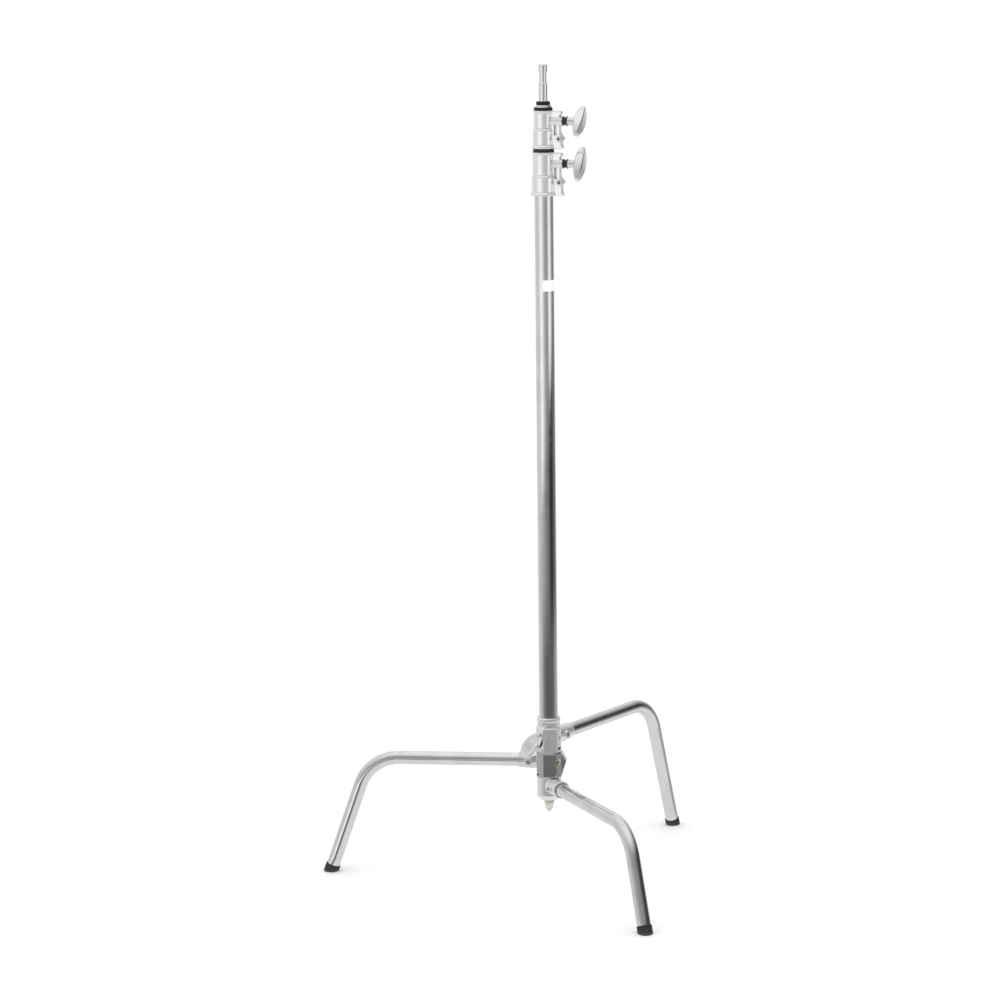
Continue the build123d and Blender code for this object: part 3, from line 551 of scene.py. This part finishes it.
for leg_name, leg_body in leg_bodies.items():
    path, sideways = leg_path(leg_name)
    skin = swept_tube(leg_name + "_leg_skin", path, leg_radius, leg_radius - leg_wall, leg_body,
                      "chromed_tube", sideways)
    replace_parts(skin, leg_name + "_leg")


# ---------------------------------------------------------------- castings and handles
casting_voxel, casting_rounds = 0.0006, 4
handle_voxel, handle_rounds = 0.0005, 6


def soften(node_name, voxel, rounds):
    """Gives a CAD piece an even skin and the soft edges of a casting."""
    node = nodes[node_name]
    skin = node.modifiers.new("even skin", "REMESH")
    skin.mode = "VOXEL"
    skin.voxel_size = voxel
    skin.use_smooth_shade = True
    relax = node.modifiers.new("soft edges", "SMOOTH")
    relax.factor = 0.5
    relax.iterations = rounds


for casting in ("base_casting", "middle_hub", "low_hub", "lower_clamp", "upper_clamp"):
    soften(casting, casting_voxel, casting_rounds)
for handle in ("base_handle", "lower_handle", "upper_handle"):
    soften(handle, handle_voxel, handle_rounds)

# ---------------------------------------------------------------- floor, light and camera
camera_azimuth = math.radians(5.41)
camera_distance, camera_height = 6.438, 1.918
camera_yaw, camera_pitch, camera_roll = math.radians(0.774), math.radians(10.48), math.radians(-0.641)
lens_mm, sensor_mm = 126.2, 36
floor_half_width = 30


def plain_floor():
    """A pale studio floor. Polished metal doesn't mirror it, because the room's light does that work."""
    material = Material("pale_floor")
    cloud = material.noise(0.6, detail=2)
    material.finish(material.ramp(cloud, (0.3, 0.915), (0.7, 0.925)), 0.7,
                    material.bump(material.noise(240), 0.0001, 0.05), Specular_IOR_Level=0.1)
    mesh = bpy.data.meshes.new("floor")
    builder = bmesh.new()
    bmesh.ops.create_grid(builder, x_segments=4, y_segments=4, size=floor_half_width)
    builder.to_mesh(mesh)
    builder.free()
    floor = bpy.data.objects.new("floor", mesh)
    bpy.context.scene.collection.objects.link(floor)
    mesh.materials.append(material.data)
    floor.visible_glossy = False


def studio_room():
    """A white room for the polished metal to mirror: dark behind the camera, with pale panels round it."""
    world = bpy.data.worlds.new("studio")
    world.use_nodes = True
    bpy.context.scene.world = world
    room = Nodes(world.node_tree)
    direction = room.node("ShaderNodeTexCoord").outputs["Generated"]
    split = room.node("ShaderNodeSeparateXYZ")
    room.link(direction, split.inputs["Vector"])
    turn = room.math("ARCTAN2", split.outputs["Y"], split.outputs["X"])
    # The angle round the room, counted from the camera's side and growing to the camera's right.
    from_camera = room.math("SUBTRACT", turn, camera_azimuth - math.pi / 2)
    round_room = room.math("WRAP", from_camera, -math.pi)
    round_room.node.inputs[2].default_value = math.pi
    share = room.math("ADD", room.math("DIVIDE", round_room, 2 * math.pi), 0.5)
    height = room.math("MULTIPLY", room.math("ARCSINE", split.outputs["Z"]), 180 / math.pi)

    def panels(*stops):
        """Brightness round the room at one height, as (degrees from the camera's side, brightness)."""
        return room.ramp(share, *[(angle / 360 + 0.5, level) for angle, level in stops])

    high = panels((-180, 0.8), (-131, 0.66), (-80, 0.6), (-55, 0.45), (-28, 0.34), (0, 0.27), (36, 0.2),
                  (62, 0.06), (118, 0.05), (140, 0.3), (165, 0.7))
    upper = panels((-180, 0.95), (-150, 0.76), (-120, 0.66), (-78, 0.6), (-56, 0.92), (-36, 1.0), (-22, 0.72),
                   (0, 0.41), (24, 0.3), (37, 0.42), (50, 0.92), (64, 1.0), (82, 0.55), (100, 0.24),
                   (122, 0.22), (142, 0.5), (165, 0.8))
    middle = panels((-180, 0.9), (-150, 0.74), (-100, 0.6), (-68, 0.48), (-50, 0.42), (-25, 0.34), (0, 0.22),
                    (24, 0.18), (38, 0.08), (55, 0.03), (78, 0.05), (98, 0.15), (122, 0.2), (150, 0.45),
                    (165, 0.7))
    lower = panels((-180, 0.9), (-150, 0.74), (-100, 0.57), (-80, 0.5), (-64, 0.34), (-46, 0.2), (-30, 0.14),
                   (0, 0.11), (60, 0.13), (78, 0.2), (98, 0.36), (122, 0.44), (160, 0.6))

    def between(low, high, measured=height):
        """Rises from 0 to 1 between two heights in the room, in degrees above the level."""
        made = room.node("ShaderNodeMapRange", interpolation_type="SMOOTHSTEP")
        made.inputs["From Min"].default_value = low
        made.inputs["From Max"].default_value = high
        room.link(measured, made.inputs["Value"])
        return made.outputs["Result"]

    # The upper panels hang lower on the camera's left than on its right.
    slanted = room.math("ADD", height, room.math("MULTIPLY", round_room, -0.9))

    walls = room.mix(between(-13.4, -11.6), lower, middle)
    walls = room.mix(between(-10.2, -8.8, slanted), walls, upper)
    walls = room.mix(between(-3.5, 1), walls, high)
    with_floor = room.mix(between(-26, -16), (0.74, 0.74, 0.73), walls)
    lit = room.mix(between(14, 78), with_floor, (0.9, 0.9, 0.9))
    ray = room.node("ShaderNodeLightPath")
    shown = room.mix(ray.outputs["Is Glossy Ray"], (1.12, 1.12, 1.12), lit)
    shown = room.mix(ray.outputs["Is Camera Ray"], shown, (1.0, 1.0, 1.0))
    background = room.tree.nodes["Background"]
    room.link(shown, background.inputs["Color"])
    background.inputs["Strength"].default_value = 1.0


def soft_light(name, place, target, size, power):
    """A large soft panel aimed at a point."""
    data = bpy.data.lights.new(name, "AREA")
    data.shape = "RECTANGLE"
    data.size, data.size_y = size
    data.energy = power
    lamp = bpy.data.objects.new(name, data)
    lamp.location = place
    lamp.rotation_mode = "QUATERNION"
    lamp.rotation_quaternion = (Vector(target) - Vector(place)).to_track_quat("-Z", "Y")
    lamp.visible_glossy = False
    bpy.context.scene.collection.objects.link(lamp)


def main_camera():
    """The camera at the main view: in front of the stand, a little above its top and looking down at it."""
    data = bpy.data.cameras.new("camera")
    data.sensor_width, data.lens = sensor_mm, lens_mm
    data.clip_start, data.clip_end = 0.1, 100
    camera = bpy.data.objects.new("camera", data)
    place = Vector((axis_x + math.sin(camera_azimuth) * camera_distance,
                    axis_y - math.cos(camera_azimuth) * camera_distance, camera_height))
    heading = camera_azimuth + camera_yaw
    ahead = Vector((-math.sin(heading) * math.cos(camera_pitch), math.cos(heading) * math.cos(camera_pitch),
                    -math.sin(camera_pitch)))
    right = ahead.cross(Vector((0, 0, 1))).normalized()
    up = right.cross(ahead)
    rolled_right = math.cos(camera_roll) * right + math.sin(camera_roll) * up
    rolled_up = -math.sin(camera_roll) * right + math.cos(camera_roll) * up
    turn = Matrix((rolled_right, rolled_up, -ahead)).transposed()
    camera.matrix_world = Matrix.Translation(place) @ turn.to_4x4()
    bpy.context.scene.collection.objects.link(camera)
    bpy.context.scene.camera = camera


plain_floor()
studio_room()
soft_light("overhead", (axis_x - 0.6, axis_y - 0.8, 3.4), (axis_x, axis_y, 0.2), (2.6, 2.6), 12)
main_camera()
bpy.context.scene.view_settings.view_transform = "Standard"
